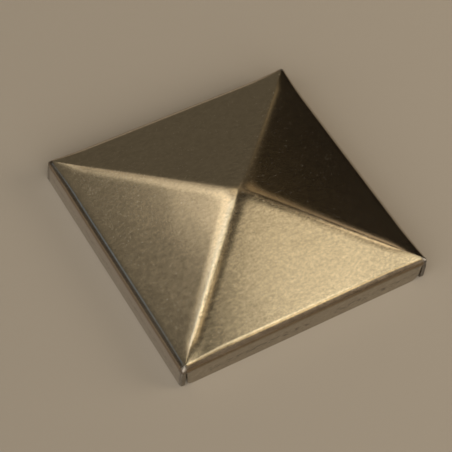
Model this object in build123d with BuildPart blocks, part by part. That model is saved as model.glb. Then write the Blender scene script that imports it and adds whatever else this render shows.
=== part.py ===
from build123d import *
import math
import os

os.makedirs("parts", exist_ok=True)

# A square post cap pressed and folded from one piece of aluminium sheet.
# The origin is at the centre of the rim, on the surface that the rim stands on, and +Z is up.
# Lengths are in millimetres, angles in degrees.

# The post and the sheet
post_side = 90.0
post_clearance = 0.5
sheet = 1.5

# The skirt, and the bend that joins it to the roof
skirt_height = 9.9
bend_inner_radius = 1.3
skirt_corner_radius = 2.0

# The roof: four flat faces between soft hips that run up to a small dome
roof_slope = 15.0
hip_start_inset = 3.0
hip_start_radius = 0.2
hip_opening_run = 3.0
hip_open_radius = 4.0
dome_radius = 4.0
dome_seam = 0.02

# The notch at each corner, between the ends of two neighbouring skirts
notch_height = 8.8
notch_width_at_rim = 2.2
notch_width_at_top = 1.6

# The small ear of roof that stands out over each notch
corner_radius = 1.6
ear_reach = 0.7
ear_drop = 0.25
ear_nose_radius = 1.0
ear_tip_inset = 0.2
ear_tip_radius = 0.4
ear_length = 16.0
ear_flank_inset = 0.5

# How far the cutters reach past the surfaces that they cut
cut_margin = 2.0

# Values worked out from the sizes above
half_side = post_side / 2 + post_clearance + sheet
bend_radius = bend_inner_radius + sheet
slope = math.radians(roof_slope)
roof_drop = sheet / math.cos(slope)
dome_base = dome_radius + dome_seam
hip_start = half_side - hip_start_inset
hip_open = hip_start - hip_opening_run
hip_growth = (dome_radius - hip_open_radius) / (hip_open - dome_base)


def roof_height(distance, drop=0.0):
    """Height of a roof face at a distance from the middle, lowered by drop."""
    return skirt_height + (half_side - distance) * math.tan(slope) - drop


def bend_points(half, radius, drop):
    """Start, middle and end of a bend's arc, from the skirt up to the roof."""
    centre_x = half - radius
    centre_z = roof_height(centre_x, drop) - radius / math.cos(slope)
    middle_angle = (math.pi / 2 - slope) / 2
    return (
        (half, centre_z),
        (centre_x + radius * math.cos(middle_angle), centre_z + radius * math.sin(middle_angle)),
        (centre_x + radius * math.sin(slope), centre_z + radius * math.cos(slope)),
    )


def cap_profile(plane, half, radius, drop, base):
    """Face across the cap, from the base over bends and roof to the foot of the dome."""
    start, middle, end = bend_points(half, radius, drop)
    top = (dome_base, roof_height(dome_base, drop))
    with BuildSketch(plane) as profile:
        with BuildLine():
            Polyline((0, base), (half, base), start)
            ThreePointArc(start, middle, end)
            Polyline(end, top, (0, top[1]))
            mirror(about=Plane.YZ)
        make_face()
    return profile.sketch


def folded_form(half, radius, drop, base):
    """Solid under a folded sheet with sharp hips, its bends mitred at the corners."""
    with BuildPart() as form:
        extrude(cap_profile(Plane.XZ, half, radius, drop, base), amount=half, both=True)
        across = cap_profile(Plane.YZ, half, radius, drop, base)
        extrude(across, amount=half, both=True, mode=Mode.INTERSECT)
    return form.part


def hip_cutters(drop):
    """The four slivers that the soft hips leave off a sharp roof."""
    past_dome = dome_base - sheet
    stations = [
        (hip_start, hip_start_radius),
        (hip_open, hip_open_radius),
        (past_dome, dome_radius + hip_growth * sheet),
    ]
    with BuildPart() as cutters:
        for distance, radius in stations:
            inner = distance - radius
            outer = distance + cut_margin
            round_middle = inner + radius * math.sqrt(0.5)
            with BuildSketch(Plane.XY.offset(roof_height(distance, drop))):
                with BuildLine():
                    ThreePointArc((inner, distance), (round_middle, round_middle), (distance, inner))
                    Polyline(
                        (distance, inner), (outer, inner), (outer, outer), (inner, outer), (inner, distance)
                    )
                make_face()
        loft(ruled=True)
        mirror(about=Plane.YZ)
        mirror(about=Plane.XZ)
    return cutters.part


def roof_dome(drop):
    """Ball segment on the flat top of the roof, which it meets at the slope of the roof."""
    ball_radius = dome_radius / math.sin(slope)
    foot = roof_height(dome_base, drop)
    ball_centre = foot - ball_radius * math.cos(slope)
    with BuildPart() as dome:
        with BuildSketch(Plane.XZ):
            with BuildLine():
                edge = (dome_radius, foot)
                flank = (
                    ball_radius * math.sin(slope / 2),
                    ball_centre + ball_radius * math.cos(slope / 2),
                )
                peak = (0, ball_centre + ball_radius)
                ThreePointArc(edge, flank, peak)
                Polyline(peak, (0, foot), edge)
            make_face()
        revolve(axis=Axis.Z)
    return dome.part


outer_fold = folded_form(half_side, bend_radius, 0.0, 0.0)
inner_fold = folded_form(half_side - sheet, bend_inner_radius, roof_drop, -cut_margin)
ear_half = half_side + ear_reach
ear_fold = folded_form(ear_half, ear_nose_radius, ear_drop, 0.0)

# The ears: the corners of a slightly wider roof, with hollow flanks that run out to a blunt tip
with BuildPart() as ears:
    ear_root = half_side - ear_length
    ear_tip = ear_half - ear_tip_inset
    ear_flank = bend_points(half_side, bend_radius, 0.0)[2][0] - ear_flank_inset
    with BuildSketch(Plane.XY.offset(notch_height)):
        with BuildLine():
            TangentArc((ear_flank, ear_root), (ear_tip, ear_tip), tangent=(0, 1))
            TangentArc((ear_root, ear_flank), (ear_tip, ear_tip), tangent=(1, 0))
            Polyline((ear_flank, ear_root), (ear_flank, ear_flank), (ear_root, ear_flank))
        ear_outline = make_face()
        fillet(ear_outline.vertices().sort_by_distance((0, 0))[-1], radius=ear_tip_radius)
        mirror(about=Plane.YZ)
        mirror(about=Plane.XZ)
    extrude(amount=skirt_height)
    add(ear_fold, mode=Mode.INTERSECT)

# The space inside the sheet
with BuildPart() as hollow:
    add(inner_fold)
    add(hip_cutters(roof_drop), mode=Mode.SUBTRACT)
    add(roof_dome(roof_drop))

with BuildPart() as post_cap:
    with BuildSketch():
        RectangleRounded(2 * half_side, 2 * half_side, corner_radius)
    extrude(amount=roof_height(0))
    add(outer_fold, mode=Mode.INTERSECT)
    add(hip_cutters(0.0), mode=Mode.SUBTRACT)
    add(roof_dome(0.0))
    add(ears.part)
    add(hollow.part, mode=Mode.SUBTRACT)

    # Corner notches, a little wider at the rim than under the ears
    notch_slant = math.atan((notch_width_at_rim - notch_width_at_top) / notch_height)
    notch_foot = notch_width_at_rim + cut_margin * math.tan(notch_slant)
    with BuildSketch(Plane.XY.offset(-cut_margin)):
        with GridLocations(2 * half_side, 2 * half_side, 2, 2):
            Rectangle(2 * notch_foot, 2 * notch_foot)
    extrude(
        amount=notch_height + cut_margin,
        taper=math.degrees(notch_slant),
        mode=Mode.SUBTRACT,
    )

    # Rounded lower corners at the ends of the four skirts
    rim_edges = post_cap.edges().group_by(Axis.Z)[0]
    skirt_corners = rim_edges.filter_by(lambda edge: edge.length < 2 * sheet)
    fillet(skirt_corners, radius=skirt_corner_radius)

post_cap.part.label = "post_cap"
export_step(post_cap.part, "parts/post_cap.step")
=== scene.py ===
import bisect
import functools
import math

import bmesh
import bpy
from mathutils import Matrix, Vector, noise


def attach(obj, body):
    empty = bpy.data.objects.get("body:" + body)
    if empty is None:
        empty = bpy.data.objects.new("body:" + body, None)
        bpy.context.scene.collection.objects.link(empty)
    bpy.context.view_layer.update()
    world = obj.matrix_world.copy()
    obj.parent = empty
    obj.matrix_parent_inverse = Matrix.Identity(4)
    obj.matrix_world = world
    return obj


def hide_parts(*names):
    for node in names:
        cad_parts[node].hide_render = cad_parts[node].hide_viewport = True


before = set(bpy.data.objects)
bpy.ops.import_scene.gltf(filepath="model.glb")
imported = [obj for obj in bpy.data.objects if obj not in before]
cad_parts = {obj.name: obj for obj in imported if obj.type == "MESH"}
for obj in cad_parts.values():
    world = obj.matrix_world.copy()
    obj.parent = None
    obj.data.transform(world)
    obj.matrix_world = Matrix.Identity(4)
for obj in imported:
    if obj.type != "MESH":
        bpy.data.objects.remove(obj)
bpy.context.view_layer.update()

MM = 0.001

# Sizes of the cap in millimetres. They are those of the CAD source, but bends, hips, peak, ears and
# the ends of the skirts have sizes of their own.
half_side = 47.0
sheet = 1.5
skirt_height = 9.9
slope = math.radians(15.0)
roof_drop = sheet / math.cos(slope)

# The roof flattens towards the peak, slowly at first, so that the peak stays just under the solid's
dome_radius = 8.0
dome_power = 0.36

# A bend turns tightly at the skirt and ever more slowly towards the roof. Of each pair, the first
# value is for the bends towards +X and -X, and the second for the two others.
bend_radii = (2.3, 1.9)
bend_tails = (0.8, 1.8)
bend_tail_power = 4
bend_steps = 60

# At the ears the bends are tighter. Values for the four corners stand in the order +X -Y, +X +Y,
# -X +Y, -X -Y, here and in crease_sizes.
ear_bend_radii = (1.2, 1.1, 1.2, 1.9)
ear_bend_tail = 0.5

# Hips: size of the rounding in plan, at distances from the middle. It closes to a crease at the ears.
hip_size_at_peak = 4.8
hip_size_low = 3.1
hip_low = 41.0
hip_closing = (43.5, 47.2)
crease_sizes = (1.5, 1.5, 1.5, 1.2)
inner_crease_size = 0.3

# The skirts towards +X and -X run to the corner, and the two others butt against them with a slit
notch_top = 8.0
slit_width_at_top = 0.25
slit_width_at_rim = 1.0
long_skirt_end = 47.1
short_skirt_end = half_side - sheet - slit_width_at_top

# The ears: the roof widens from ear_start outward, and its tips are lifted from lift_start outward
ear_length = 16.0
ear_reach = 0.2
ear_start = 30.0
ear_lift = 0.3
lift_start = 38.0
lift_run = 7.0

# Cut edges are broken by a small round, whose middle lies at these shares of its size
edge_round = 0.15
round_across = 0.29
round_outward = 0.71

# The lower corners of the skirts are rounded. Three have radii of their own, found by the side (0 faces
# +X, 1 +Y, 2 -X, 3 -Y) and by its end (1 is the end further counter-clockwise, seen from above).
skirt_corner_radius = 2.0
own_corner_radius = {(2, -1): 0.8, (2, 1): 2.6, (3, 1): 3.0}
upper_round_height = 3.0
upper_round_depth = 0.75

# Small unevenness of the pressed sheet: size and height of its waves, and the distance from the peak
# from which on they have their full height
long_wave = 21.0
long_wave_height = 0.05
short_wave = 8.0
short_wave_height = 0.014
waves_full = 14.0

# Mesh density
dome_rings = 12
roof_rings = 36
upper_bend_rings = 15
lower_bend_rings = 2
skirt_rings = 9
skirt_columns = 38
corner_columns = 8

# Rings crowd at the peak by this power, and columns crowd towards the corner by the next three
dome_crowding = 1.5
column_curve = 0.85
column_slope = 0.15
corner_crowding = 1.4

# How far from the corner the last column of a long skirt stands
long_notch_gap = 0.35

# Height of straight skirt above the notch that takes as many rings as a whole bend
straight_scale = 2.0

# Share of the inner surface's side that a skirt's columns take at the notch. The corner's columns
# stand in the rest.
inner_pinch = 0.9985


def blend(start, end, share):
    return start + (end - start) * share


def ease(share):
    """Smooth step from 0 to 1."""
    share = min(1.0, max(0.0, share))
    return share * share * (3 - 2 * share)


def roof_height(distance):
    return skirt_height + (half_side - distance) * math.tan(slope)


def hip_size(distance, crease):
    """Size of a hip's rounding in plan, at a distance from the middle."""
    size = blend(hip_size_at_peak, hip_size_low, distance / hip_low)
    start, end = hip_closing
    return blend(size, crease, ease((distance - start) / (end - start)))


def rounding_curve():
    """Half of a rounding of size 1 in plan, from its crest out to the straight side.

    The curve is tight at the crest and turns ever more slowly towards the side.
    x runs across the hip and y down from the crest; each point goes with its length from the crest.
    """
    tight_part = 0.5
    slow_part = 0.85
    slow_power = 5
    steps = 200
    quarter = math.pi / 4
    x, y, length = 0.0, 0.0, 0.0
    points = [(x, y, length)]
    for step in range(steps):
        near = step / steps
        far = (step + 1) / steps
        piece = tight_part * quarter / steps + slow_part * (far**slow_power - near**slow_power)
        angle = quarter * (near + far) / 2
        x += piece * math.cos(angle)
        y += piece * math.sin(angle)
        length += piece
        points.append((x, y, length))
    return points


curve = rounding_curve()
curve_lengths = [point[2] for point in curve]
curve_length = curve_lengths[-1]
curve_reach = curve[-1][0] * math.sqrt(2)
corner_above_crest = curve[-1][0] - curve[-1][1]


def curve_at(length):
    """Point of the unit rounding at a length from its crest, as distances in from the two sides."""
    after = min(bisect.bisect_right(curve_lengths, length), len(curve) - 1)
    before = after - 1
    share = (length - curve_lengths[before]) / (curve_lengths[after] - curve_lengths[before])
    share = min(1.0, max(0.0, share))
    x = blend(curve[before][0], curve[after][0], share)
    y = blend(curve[before][1], curve[after][1], share) + corner_above_crest
    return (y - x) / math.sqrt(2), (y + x) / math.sqrt(2)


def dome_height(distance):
    power = dome_power + 1
    rise = dome_radius / power * (1 - (distance / dome_radius) ** power)
    return roof_height(dome_radius) + rise * math.tan(slope)


# Columns run from the middle of a side to its corner, as shares of that way. Sides 0 and 2 face
# +X and -X and have the long skirts.
way_to_corner = half_side + ear_reach - (curve_reach - curve_length) * crease_sizes[0]
skirt_ends = (long_skirt_end - edge_round, short_skirt_end - edge_round)
notch_shares = (1 - long_notch_gap / way_to_corner, skirt_ends[1] / way_to_corner)
column_shares = ([], [])
for shares, notch_share in zip(column_shares, notch_shares):
    for step in range(skirt_columns + 1):
        left = 1 - step / skirt_columns
        shares.append(notch_share * (1 - column_curve * left**2 - column_slope * left))
    for step in range(1, corner_columns + 1):
        left = 1 - step / corner_columns
        shares.append(blend(1.0, notch_share, left**corner_crowding))
last_column = skirt_columns + corner_columns
columns_per_side = 2 * last_column

# Rings run from the top down: dome, roof, the bend down to the notch, the rest of the bend, skirt
dome_end = dome_rings
roof_end = dome_end + roof_rings
notch_ring = roof_end + upper_bend_rings
bend_end = notch_ring + lower_bend_rings
rim_ring = bend_end + skirt_rings


def ear_share(column_share):
    """1 at the tip of an ear, 0 where the ear has died out along the side."""
    from_corner = (1 - column_share) * half_side
    return max(0.0, 1 - from_corner / ear_length) ** 2


@functools.cache
def bend_curve(radius, tail):
    """Profile of a bend from the skirt to the roof, as (in, up) at even shares of its turn."""
    whole_turn = math.pi / 2 - slope
    inward, upward = 0.0, 0.0
    points = [(inward, upward)]
    for step in range(bend_steps):
        near = step / bend_steps
        far = (step + 1) / bend_steps
        piece = radius * whole_turn / bend_steps
        piece += tail * (far**bend_tail_power - near**bend_tail_power)
        angle = whole_turn * (near + far) / 2
        inward += piece * math.sin(angle)
        upward += piece * math.cos(angle)
        points.append((inward, upward))
    return points


def bend_foot(curve, half, drop):
    """Height at which a bend leaves the skirt."""
    inward, upward = curve[-1]
    return roof_height(half - inward) - drop - upward


def bend_turn(curve, foot, z):
    """Share of a bend's turn at a height."""
    for step in range(bend_steps):
        low = foot + curve[step][1]
        high = foot + curve[step + 1][1]
        if z < high:
            return max(0.0, step + (z - low) / (high - low)) / bend_steps
    return 1.0


def bend_point(curve, foot, half, turn):
    """Point on a bend at a share of its turn, 0 at the skirt and 1 at the roof: out, up."""
    step = min(int(turn * bend_steps), bend_steps - 1)
    part = turn * bend_steps - step
    inward = blend(curve[step][0], curve[step + 1][0], part)
    upward = blend(curve[step][1], curve[step + 1][1], part)
    return half - inward, foot + upward


def plan_point(column_share, half, size):
    """Point on a rounded square: distance out from the middle, distance along the side."""
    size = min(size, half / curve_reach)
    straight = half - size * curve_reach
    way = column_share * (straight + size * curve_length)
    if way <= straight:
        return half, way
    near, far = curve_at(curve_length - (way - straight) / size)
    return half - size * near, half - size * far


def waviness(x, y, z):
    """Small unevenness of the pressed sheet, in millimetres. The peak stays where it is."""
    long_noise = noise.noise(Vector((x / long_wave, y / long_wave, z / long_wave + 3.0)))
    short_noise = noise.noise(Vector((x / short_wave + 9.0, y / short_wave, z / short_wave)))
    height = long_wave_height * long_noise + short_wave_height * short_noise
    return height * ease(math.hypot(x, y) / waves_full)


def rim_height(from_end, radius):
    """Height of a skirt's lower edge at a distance from the skirt's end."""
    if from_end >= radius:
        return edge_round
    return edge_round + radius - math.sqrt(radius**2 - (radius - from_end) ** 2)


def skirt_end(side, z):
    """How far along its side a skirt reaches at a height.

    The long skirts are rounded at the top, and the short ones draw back towards the rim.
    """
    end = skirt_ends[side % 2]
    if side % 2 == 1:
        return end - (slit_width_at_rim - slit_width_at_top) * (1 - z / notch_top)
    rise = min(1.0, max(0.0, 1 - (notch_top - z) / upper_round_height))
    return end - upper_round_depth * (1 - math.sqrt(1 - rise**2))


plain_bends = [bend_curve(radius, tail) for radius, tail in zip(bend_radii, bend_tails)]
roof_edge = half_side - plain_bends[0][-1][0]
plain_feet = [bend_foot(plain_bend, half_side, 0.0) for plain_bend in plain_bends]


def surface_point(ring, column, side, sign, inner):
    """Point of the outer or inner surface, on the side that faces +X: out, along, up."""
    share = column_shares[side % 2][column]
    notch_share = notch_shares[side % 2]
    plain_foot = plain_feet[side % 2]
    ear = ear_share(share)
    tail = blend(bend_tails[side % 2], ear_bend_tail, ear)
    bend_radius = bend_radii[side % 2]
    corner = (side + (sign > 0)) % 4
    outer_crease = crease_sizes[corner]
    if inner:
        ear = 0.0
        curve = bend_curve(bend_radius - sheet, tail)
        half = half_side - sheet
        drop = roof_drop
        crease = inner_crease_size
    else:
        curve = bend_curve(blend(bend_radius, ear_bend_radii[corner], ear), tail)
        half = half_side + ear_reach * ear
        drop = 0.0
        crease = outer_crease
    if ring <= dome_end:
        distance = dome_radius * (ring / dome_rings) ** dome_crowding
        out, along = plan_point(share, distance, hip_size(distance, outer_crease))
        return out, along, dome_height(distance) - drop
    lift = ear_lift * ear**4
    if ring <= roof_end:
        distance = blend(dome_radius, roof_edge, (ring - dome_end) / roof_rings)
        reach = half - curve[-1][0] - roof_edge
        distance += reach * ease((distance - ear_start) / (roof_edge - ear_start))
        size = hip_size(distance, outer_crease)
        out, along = plan_point(share, distance, size)
        lifted = lift * ease((distance - lift_start) / lift_run)
        return out, along, roof_height(distance) - drop + lifted
    foot = bend_foot(curve, half, drop)
    if ring <= notch_ring:
        above = (ring - roof_end) / upper_bend_rings
        straight = max(0.0, foot - notch_top) / straight_scale
        way = above * (1 + straight)
        if straight > 0 and way > 1:
            out, z = half, foot - straight_scale * (way - 1)
        else:
            lowest = bend_turn(curve, foot, notch_top)
            turn = 1 - way if straight > 0 else blend(1.0, lowest, above)
            out, z = bend_point(curve, foot, half, turn)
        if inner:
            pinched = inner_pinch * share / notch_share
            if share > notch_share:
                pinched = blend(inner_pinch, 1.0, (share - notch_share) / (1 - notch_share))
            share = blend(share, pinched, above)
        size = blend(hip_size(half - curve[-1][0], outer_crease), crease, ease(2 * above))
        out, along = plan_point(share, out, size)
        return out, along, z + lift * (1 - ease(above))
    if ring <= bend_end:
        below = (ring - notch_ring) / lower_bend_rings
        z = blend(notch_top, plain_foot, below)
        out = bend_point(curve, foot, half, bend_turn(curve, foot, z))[0]
        out -= ear_reach * ear * ease(below)
    else:
        out = half_side - sheet if inner else half_side
        z = plain_foot
    along = share / notch_share * skirt_end(side, z)
    if ring > bend_end:
        corner_radius = own_corner_radius.get((side, sign), skirt_corner_radius)
        low = rim_height(skirt_ends[side % 2] - along, corner_radius)
        z = blend(z, low, (ring - bend_end) / skirt_rings)
        along = share / notch_share * skirt_end(side, z)
    return out, along, z


def side_of(column):
    """Side number, sign and step from the middle of the side, for a column of the whole ring."""
    side = column // columns_per_side
    step = column % columns_per_side - last_column
    return side, (1 if step > 0 else -1), abs(step)


def build_surface(mesh, inner):
    """Adds one surface of the sheet and returns its vertices by ring and column."""
    grid = {}
    top = surface_point(0, 0, 0, 1, inner)[2]
    top_vertex = mesh.verts.new(Vector((0, 0, top + waviness(0, 0, top))) * MM)
    for ring in range(1, rim_ring + 1):
        for column in range(4 * columns_per_side):
            side, sign, step = side_of(column)
            if ring > notch_ring and step > skirt_columns:
                continue
            out, along, z = surface_point(ring, step, side, sign, inner)
            turn = Matrix.Rotation(side * math.pi / 2, 3, "Z")
            point = turn @ Vector((out, sign * along, z))
            uneven = waviness(*point)
            if ring <= roof_end:
                point.z += uneven
            else:
                point.z += uneven * (1 - ease((ring - roof_end) / upper_bend_rings))
            grid[ring, column] = mesh.verts.new(point * MM)
    whole = 4 * columns_per_side
    for column in range(whole):
        following = (column + 1) % whole
        mesh.faces.new((top_vertex, grid[1, column], grid[1, following]))
        for ring in range(1, rim_ring):
            corners = ((ring, column), (ring + 1, column), (ring + 1, following), (ring, following))
            if all(corner in grid for corner in corners):
                if ring < notch_ring or side_of(column)[0] == side_of(following)[0]:
                    mesh.faces.new([grid[corner] for corner in corners])
    return grid


def boundary_loop(mesh):
    """The surface's free edge as an ordered list of vertices."""
    following = {}
    for edge in mesh.edges:
        if len(edge.link_faces) == 1:
            for corner in edge.link_faces[0].loops:
                if corner.edge == edge:
                    following[corner.vert] = corner.link_loop_next.vert
    start = next(iter(following))
    loop = [start]
    while following[loop[-1]] != start:
        loop.append(following[loop[-1]])
    return loop


def build_cap():
    """The whole cap as one closed mesh: outer surface, inner surface and the rounded cut edge."""
    mesh = bmesh.new()
    outer = build_surface(mesh, inner=False)
    mesh.edges.index_update()
    loop = boundary_loop(mesh)
    key_of = {vertex: key for key, vertex in outer.items()}
    inner = build_surface(mesh, inner=True)
    rows = [[] for _ in range(6)]
    count = len(loop)
    for index, vertex in enumerate(loop):
        partner = inner[key_of[vertex]]
        across = (partner.co - vertex.co).normalized()
        before = loop[index - 1].co
        after = loop[(index + 1) % count].co
        outward = across.cross(after - before).normalized()
        step = edge_round * MM
        rows[0].append(vertex)
        middle = outward * step * round_outward
        rows[1].append(mesh.verts.new(vertex.co + across * step * round_across + middle))
        rows[2].append(mesh.verts.new(vertex.co + across * step + outward * step))
        rows[3].append(mesh.verts.new(partner.co - across * step + outward * step))
        rows[4].append(mesh.verts.new(partner.co - across * step * round_across + middle))
        rows[5].append(partner)
    for upper, lower in zip(rows, rows[1:]):
        for index in range(count):
            following = (index + 1) % count
            mesh.faces.new((upper[index], upper[following], lower[following], lower[index]))
    bmesh.ops.recalc_face_normals(mesh, faces=mesh.faces)
    for face in mesh.faces:
        face.smooth = True
    data = bpy.data.meshes.new("cap")
    mesh.to_mesh(data)
    mesh.free()
    cap = bpy.data.objects.new("cap", data)
    bpy.context.scene.collection.objects.link(cap)
    return cap


cap = build_cap()
weighted = cap.modifiers.new("weighted", "WEIGHTED_NORMAL")
weighted.mode = "FACE_AREA"
weighted.weight = 50


class Nodes:
    """Short calls for building a node tree."""

    def __init__(self, tree):
        self.tree = tree
        tree.nodes.clear()

    def add(self, kind, **settings):
        node = self.tree.nodes.new(kind)
        for name, value in settings.items():
            setattr(node, name, value)
        return node

    def link(self, source, target):
        if isinstance(source, bpy.types.NodeSocket):
            self.tree.links.new(source, target)
        else:
            target.default_value = source

    def math(self, operation, first, second=0.0):
        node = self.add("ShaderNodeMath", operation=operation)
        self.link(first, node.inputs[0])
        self.link(second, node.inputs[1])
        return node.outputs[0]

    def range(self, value, low, high, start=0.0, end=1.0, smooth=True):
        kind = "SMOOTHSTEP" if smooth else "LINEAR"
        node = self.add("ShaderNodeMapRange", interpolation_type=kind)
        self.link(value, node.inputs["Value"])
        for name, number in (("From Min", low), ("From Max", high), ("To Min", start), ("To Max", end)):
            node.inputs[name].default_value = number
        return node.outputs["Result"]

    def noise(self, vector, scale, detail=2.0, roughness=0.5):
        node = self.add("ShaderNodeTexNoise")
        self.link(vector, node.inputs["Vector"])
        node.inputs["Scale"].default_value = scale
        node.inputs["Detail"].default_value = detail
        node.inputs["Roughness"].default_value = roughness
        return node.outputs["Fac"]

    def scaled(self, vector, scale, turn=0.0):
        node = self.add("ShaderNodeMapping")
        self.link(vector, node.inputs["Vector"])
        node.inputs["Rotation"].default_value = (0, 0, turn)
        node.inputs["Scale"].default_value = scale
        return node.outputs["Vector"]

    def mix(self, share, first, second):
        node = self.add("ShaderNodeMix", data_type="RGBA", clamp_factor=False)
        self.link(share, node.inputs[0])
        self.link(first, node.inputs[6])
        self.link(second, node.inputs[7])
        return node.outputs[2]


# Heights on the cap, in millimetres: the row of scuffs on the skirts and the middle of the painted shade
# band along the bends
scuff_height = 3.9
bend_height = 9.2

# Colours of the aluminium and its wear, colours of painted shade on skirts, bends and ear tips, and the
# depth of its grain in metres. Of each pair, the first is for the sides towards +X and -X, and the second
# for the two others.
pale_sheet = (0.81, 0.75, 0.65, 1)
plain_sheet = (0.75, 0.69, 0.59, 1)
streak_colour = (0.68, 0.62, 0.52, 1)
grain_colour = (0.60, 0.54, 0.45, 1)
# Painted shade on the skirts, darker still on the sides towards +Y and -Y
skirt_shade_colours = ((0.50, 0.47, 0.43, 1), (0.365, 0.33, 0.27, 1))
# Painted shade along the bends
bend_shade_colours = ((0.33, 0.26, 0.19, 1), (0.24, 0.17, 0.10, 1))
# Painted shade at the tips of the ears
tip_shade_colour = (0.18, 0.17, 0.16, 1)
scuff_colour = (0.18, 0.15, 0.12, 1)
grain_depth = 0.0000007


def aluminium_material():
    material = bpy.data.materials.new("aluminium")
    material.use_nodes = True
    nodes = Nodes(material.node_tree)
    output = nodes.add("ShaderNodeOutputMaterial")
    shader = nodes.add("ShaderNodeBsdfPrincipled")
    nodes.link(shader.outputs[0], output.inputs[0])
    shader.inputs["Metallic"].default_value = 1.0
    place = nodes.add("ShaderNodeTexCoord").outputs["Object"]
    millimetres = nodes.scaled(place, (1000, 1000, 1000))
    split = nodes.add("ShaderNodeSeparateXYZ")
    nodes.link(millimetres, split.inputs[0])
    x, y, z = split.outputs
    from_x = nodes.math("ABSOLUTE", x)
    from_y = nodes.math("ABSOLUTE", y)
    outward = nodes.math("MAXIMUM", from_x, from_y)
    facing_y = nodes.range(nodes.math("SUBTRACT", from_y, from_x), -0.5, 0.5)

    # Rolling grain of the sheet, which runs along X, and the mottling of its surface
    streaks = nodes.noise(nodes.scaled(millimetres, (0.22, 1.6, 1.6), 0.1), 1.5, 3.0, 0.65)
    mottle = nodes.noise(nodes.scaled(millimetres, (0.6, 1.0, 1.0), 0.2), 0.75, 4.0, 0.65)
    grain = nodes.noise(millimetres, 2.6, 2.0, 0.6)
    fine = nodes.noise(nodes.scaled(millimetres, (0.7, 1.0, 1.0), 0.2), 1.3, 3.0, 0.65)
    front_share = nodes.range(nodes.math("ADD", x, y), -1.0, 1.0, 1.0, 0.36)
    shade = nodes.range(fine, 0.3, 0.7, -0.16, 0.16, False)
    shade = nodes.math("MULTIPLY", shade, nodes.range(facing_y, 0.0, 1.0, 0.72, 1.0))
    cloudy = nodes.math("MULTIPLY", nodes.range(mottle, 0.35, 0.65, -0.07, 0.07, False), facing_y)
    shade = nodes.math("MULTIPLY", nodes.math("ADD", shade, cloudy), front_share)

    # Fine bright points, mostly on the face towards -X, near the corner at -X +Y
    points = nodes.noise(millimetres, 3.2, 1.0, 0.5)
    patch = nodes.noise(millimetres, 0.12, 2.0, 0.5)
    near_corner = nodes.range(nodes.math("SUBTRACT", y, x), 10.0, 75.0)
    facing_left = nodes.math("LESS_THAN", nodes.math("ADD", x, from_y), 0.0)
    many = nodes.math("MULTIPLY", nodes.math("MULTIPLY", near_corner, facing_left), 0.105)
    many = nodes.math("ADD", many, nodes.range(patch, 0.45, 0.7, 0.0, 0.03))
    speck = nodes.range(nodes.math("ADD", points, many), 0.75, 0.83)
    speck = nodes.math("MULTIPLY", speck, nodes.range(outward, 40.5, 44.0, 1.0, 0.0))

    # The crest of each hip is scuffed to a faint thin line that comes and goes
    from_crest = nodes.math("ABSOLUTE", nodes.math("SUBTRACT", from_x, from_y))
    waver = nodes.range(nodes.noise(millimetres, 0.2, 2.0), 0.3, 0.7, -0.2, 0.3)
    from_line = nodes.math("ABSOLUTE", nodes.math("SUBTRACT", from_crest, waver))
    crest = nodes.range(from_line, 0.05, 0.4, 1.0, 0.0)
    crest = nodes.math("MULTIPLY", crest, nodes.range(nodes.noise(millimetres, 0.4, 3.0), 0.3, 0.7))
    crest = nodes.math("MULTIPLY", crest, nodes.range(outward, 9.0, 20.0))

    # Short dark scuffs in a row half way up the skirts
    along = nodes.math("ADD", x, y)
    flow = nodes.add("ShaderNodeCombineXYZ")
    nodes.link(along, flow.inputs[0])
    nodes.link(nodes.math("MULTIPLY", z, 3.0), flow.inputs[1])
    dashes = nodes.noise(flow.outputs[0], 0.5, 3.0, 0.6)
    from_row = nodes.math("ABSOLUTE", nodes.math("SUBTRACT", z, scuff_height))
    row = nodes.range(from_row, 0.4, 1.5, 1.0, 0.0)
    on_skirt = nodes.range(outward, 46.5, 46.9)
    runs = nodes.range(nodes.noise(nodes.scaled(millimetres, (1, 1, 0)), 0.11, 1.0), 0.36, 0.48)
    scuff = nodes.math("MULTIPLY", nodes.range(dashes, 0.50, 0.58), nodes.math("MULTIPLY", row, on_skirt))
    scuff = nodes.math("MULTIPLY", scuff, nodes.math("MULTIPLY", runs, front_share))
    scuff = nodes.math("MULTIPLY", scuff, nodes.range(facing_y, 0.0, 1.0, 0.5, 0.85))

    # Painted shade: the bends and the tips of the ears are painted dark and made rougher, and the skirts
    # painted a little dark
    from_bend = nodes.math("ABSOLUTE", nodes.math("SUBTRACT", z, bend_height))
    past_roof = nodes.range(outward, 45.3, 46.2)
    bend_shade_and_dull = nodes.math("MULTIPLY", nodes.range(from_bend, 0.3, 1.8, 1.0, 0.0), past_roof)
    # Mask for the painted shade and the extra roughness at the tips of the ears, weaker towards -X
    tip_shade_and_dull = nodes.range(nodes.math("MINIMUM", from_x, from_y), 44.7, 46.0)
    tip_shade_and_dull = nodes.math("MULTIPLY", tip_shade_and_dull, nodes.range(x, -1.0, 1.0, 0.5, 0.9))

    colour = nodes.mix(nodes.range(mottle, 0.35, 0.68), plain_sheet, pale_sheet)
    colour = nodes.mix(nodes.range(streaks, 0.42, 0.75, 0.0, 0.4), colour, streak_colour)
    colour = nodes.mix(nodes.range(grain, 0.5, 0.75, 0.0, 0.3), colour, grain_colour)
    skirt_shade_colour = nodes.mix(facing_y, *skirt_shade_colours)
    bend_shade_colour = nodes.mix(facing_y, *bend_shade_colours)
    # Painted shade: the skirts are mixed towards darker colours
    colour = nodes.mix(nodes.math("MULTIPLY", on_skirt, 0.9), colour, skirt_shade_colour)
    # Painted shade: a dark brown band along the bends
    colour = nodes.mix(nodes.math("MULTIPLY", bend_shade_and_dull, 0.85), colour, bend_shade_colour)
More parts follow.
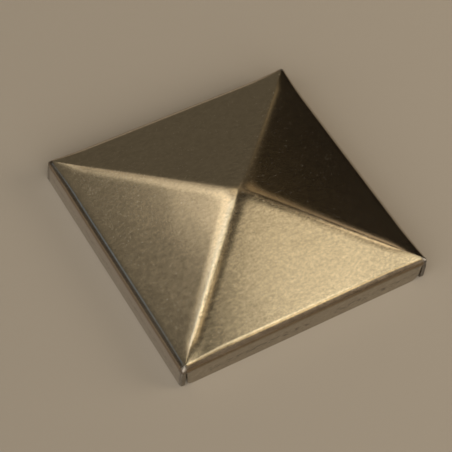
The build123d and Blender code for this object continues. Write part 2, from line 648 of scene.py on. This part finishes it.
    # Painted shade: the tips of the ears are mixed towards a dark colour
    colour = nodes.mix(tip_shade_and_dull, colour, tip_shade_colour)
    colour = nodes.mix(scuff, colour, scuff_colour)
    shaded = nodes.add("ShaderNodeVectorMath", operation="SCALE")
    nodes.link(colour, shaded.inputs[0])
    nodes.link(nodes.math("ADD", shade, 1.0), shaded.inputs["Scale"])
    nodes.link(shaded.outputs[0], shader.inputs["Base Color"])

    rough = nodes.range(mottle, 0.3, 0.7, 0.165, 0.19)
    rough = nodes.math("ADD", rough, nodes.math("MULTIPLY", speck, 0.22))
    rough = nodes.math("ADD", rough, nodes.math("MULTIPLY", crest, 0.10))
    rough = nodes.math("ADD", rough, nodes.math("MULTIPLY", bend_shade_and_dull, 0.06))
    nodes.link(nodes.math("ADD", rough, nodes.math("MULTIPLY", tip_shade_and_dull, 0.12)), shader.inputs["Roughness"])

    height = nodes.math("ADD", nodes.math("MULTIPLY", streaks, 1.0), nodes.math("MULTIPLY", grain, 0.3))
    height = nodes.math("ADD", height, nodes.math("MULTIPLY", speck, 0.8))
    bump = nodes.add("ShaderNodeBump")
    bump.inputs["Strength"].default_value = 1.0
    bump.inputs["Distance"].default_value = grain_depth
    nodes.link(height, bump.inputs["Height"])
    nodes.link(bump.outputs[0], shader.inputs["Normal"])
    return material


cap.data.materials.append(aluminium_material())
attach(cap, "root")
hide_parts("post_cap")


# Floor, in metres
floor_half = 4
floor_colour = (0.40, 0.346, 0.283, 1)
floor_roughness = 0.7
floor_corners = [
    (-floor_half, -floor_half, 0),
    (floor_half, -floor_half, 0),
    (floor_half, floor_half, 0),
    (-floor_half, floor_half, 0),
]
floor_mesh = bpy.data.meshes.new("floor")
floor_mesh.from_pydata(floor_corners, [], [(0, 1, 2, 3)])
floor = bpy.data.objects.new("floor", floor_mesh)
bpy.context.scene.collection.objects.link(floor)
floor_material = bpy.data.materials.new("floor")
floor_material.use_nodes = True
floor_shader = floor_material.node_tree.nodes["Principled BSDF"]
floor_shader.inputs["Base Color"].default_value = floor_colour
floor_shader.inputs["Roughness"].default_value = floor_roughness
floor_mesh.materials.append(floor_material)


# Energy that an area lamp needs per square metre for a radiance of 1
energy_per_radiance = 4


def lamp(name, place, size, radiance, turn=0.0, distance=1.0):
    """Soft rectangular lamp that faces the cap.

    Its place is two angles from the zenith in degrees, towards +X and towards +Y, and its size is
    two angles as well. Radiance is how bright its surface looks, in red, green and blue.
    """
    polar = math.radians(math.hypot(*place))
    azimuth = math.atan2(place[1], place[0])
    toward = Vector((
        math.sin(polar) * math.cos(azimuth),
        math.sin(polar) * math.sin(azimuth),
        math.cos(polar),
    ))
    width, height = [2 * distance * math.tan(math.radians(angle) / 2) for angle in size]
    data = bpy.data.lights.new(name, "AREA")
    data.shape = "RECTANGLE"
    data.size = width
    data.size_y = height
    data.energy = energy_per_radiance * width * height * max(radiance)
    data.color = [part / max(radiance) for part in radiance]
    made = bpy.data.objects.new(name, data)
    bpy.context.scene.collection.objects.link(made)
    across = (Vector((1, 0, 0)) - toward * toward.x).normalized()
    axes = Matrix((across, toward.cross(across), toward)).transposed()
    axes = axes @ Matrix.Rotation(math.radians(turn), 3, "Z")
    made.matrix_world = Matrix.Translation(toward * distance) @ axes.to_4x4()


# The long soft strip that the face towards -X and the front hip reflect
lamp("strip_left_near", (2.0, 9.0), (8.0, 8.0), (1.53, 1.28, 0.84))
lamp("strip_left_middle", (-0.3, 17.0), (6.5, 9.0), (1.04, 0.98, 0.79))
lamp("strip_left_far", (-3.2, 26.0), (6.5, 10.0), (1.18, 0.98, 0.68))
lamp("strip_left_tail", (-3.0, 34.5), (9.0, 7.0), (0.51, 0.43, 0.3))
lamp("strip_left_end", (1.5, 43.0), (9.0, 11.0), (0.31, 0.25, 0.17))

# The strip on the right, which the face towards -Y and its bend reflect
lamp("strip_right", (24.7, 0.0), (11.4, 7.0), (0.6, 0.49, 0.31))
lamp("strip_right_middle", (23.8, -7.0), (10.4, 7.0), (0.83, 0.7, 0.47))
lamp("strip_right_low", (21.0, -16.0), (9.0, 9.0), (1.4, 1.21, 0.83))
lamp("strip_right_end", (22.5, -27.0), (8.0, 9.0), (1.2, 0.9, 0.48))

# Smaller glows: five that draw the edges of the far hips, one beside the left strip, and a broad dim
# one for the roundings at the peak
lamp("near_right", (8.5, 2.0), (6.0, 6.0), (0.76, 0.56, 0.3))
lamp("far_right", (36.5, 6.0), (6.0, 10.0), (1.12, 0.88, 0.54), turn=-60)
lamp("far_right_end", (47.5, 16.5), (5.0, 9.0), (0.58, 0.43, 0.27), turn=20)
lamp("far_right_glow", (43.0, 27.0), (5.0, 10.0), (0.26, 0.18, 0.09))
lamp("far_glow", (46.0, 44.0), (4.0, 9.0), (0.14, 0.1, 0.05))
lamp("beside_strip", (6.5, 23.0), (7.0, 18.0), (0.52, 0.41, 0.25))
lamp("over_peak", (24.0, 27.0), (24.0, 28.0), (0.11, 0.08, 0.045))

# A brown glow for the bend under the face towards -Y, and a bluish one for the bend towards -X
lamp("front_low", (24.0, -55.0), (14.0, 36.0), (0.12, 0.085, 0.05))
lamp("left_blue", (-33.0, 30.0), (10.0, 10.0), (0.06, 0.10, 0.15))

# The main light of floor and skirts comes from the right, low enough to miss the roof's reflections
lamp("key", (55.0, -33.0), (36.0, 36.0), (2.6, 2.35, 1.95), distance=1.3)

# World: bright on the side behind the camera, dim overhead and beyond the cap, pale at the horizon
bright_side = Vector((-0.72, -0.69, 0.0))
bright_colour = (1.0, 0.97, 0.91, 1)
bright_level = 1.85
dim_side = Vector((-0.6, 0.8, 0.0))
dim_colour = (0.095, 0.078, 0.052, 1)
dark_colour = (0.006, 0.004, 0.002, 1)
horizon_colour = (0.30, 0.24, 0.168, 1)
world = bpy.data.worlds.new("world")
bpy.context.scene.world = world
world.use_nodes = True
nodes = Nodes(world.node_tree)
output = nodes.add("ShaderNodeOutputWorld")
background = nodes.add("ShaderNodeBackground")
direction = nodes.add("ShaderNodeTexCoord").outputs["Generated"]
toward_bright = nodes.add("ShaderNodeVectorMath", operation="DOT_PRODUCT")
nodes.link(direction, toward_bright.inputs[0])
toward_bright.inputs[1].default_value = bright_side
split = nodes.add("ShaderNodeSeparateXYZ")
nodes.link(direction, split.inputs[0])
level = nodes.math("SQRT", nodes.math("SUBTRACT", 1.0, nodes.math("POWER", split.outputs["Z"], 2.0)))
turned = nodes.math("DIVIDE", toward_bright.outputs["Value"], nodes.math("MAXIMUM", level, 0.05))
facing_bright = nodes.range(turned, 0.35, 0.75)
below_top = nodes.range(split.outputs["Z"], 0.89, 0.97, 1.0, 0.0)
bright = nodes.math("MULTIPLY", nodes.math("MULTIPLY", facing_bright, below_top), bright_level)
toward_dim = nodes.add("ShaderNodeVectorMath", operation="DOT_PRODUCT")
nodes.link(direction, toward_dim.inputs[0])
toward_dim.inputs[1].default_value = dim_side
dim = nodes.range(toward_dim.outputs["Value"], -0.05, 0.25)
dim = nodes.math("MULTIPLY", dim, nodes.range(toward_dim.outputs["Value"], 0.55, 0.8, 1.0, 0.5))
surround = nodes.mix(dim, dark_colour, dim_colour)
horizon = nodes.range(split.outputs["Z"], 0.06, 0.16, 1.0, 0.0)
surround = nodes.mix(horizon, surround, horizon_colour)
surround = nodes.mix(bright, surround, bright_colour)
nodes.link(surround, background.inputs["Color"])
nodes.link(background.outputs[0], output.inputs[0])

# Camera, fitted to the edges in the photograph
azimuth = math.radians(-36.35)
elevation = math.radians(54.17)
roll = math.radians(7.57)
target = Vector((-0.00207, 0.00151, 0))
distance = 0.5964
back = Vector((
    math.sin(azimuth) * math.cos(elevation),
    -math.cos(azimuth) * math.cos(elevation),
    math.sin(elevation),
))
level_right = Vector((math.cos(azimuth), math.sin(azimuth), 0))
level_up = back.cross(level_right)
right = level_right * math.cos(roll) + level_up * math.sin(roll)
up = level_up * math.cos(roll) - level_right * math.sin(roll)
camera_data = bpy.data.cameras.new("camera")
camera_data.sensor_width = 36
camera_data.lens = 139.08
camera = bpy.data.objects.new("camera", camera_data)
bpy.context.scene.collection.objects.link(camera)
camera_axes = Matrix((right, up, back)).transposed().to_4x4()
camera.matrix_world = Matrix.Translation(target + back * distance) @ camera_axes
bpy.context.scene.camera = camera

bpy.context.scene.view_settings.view_transform = "Standard"
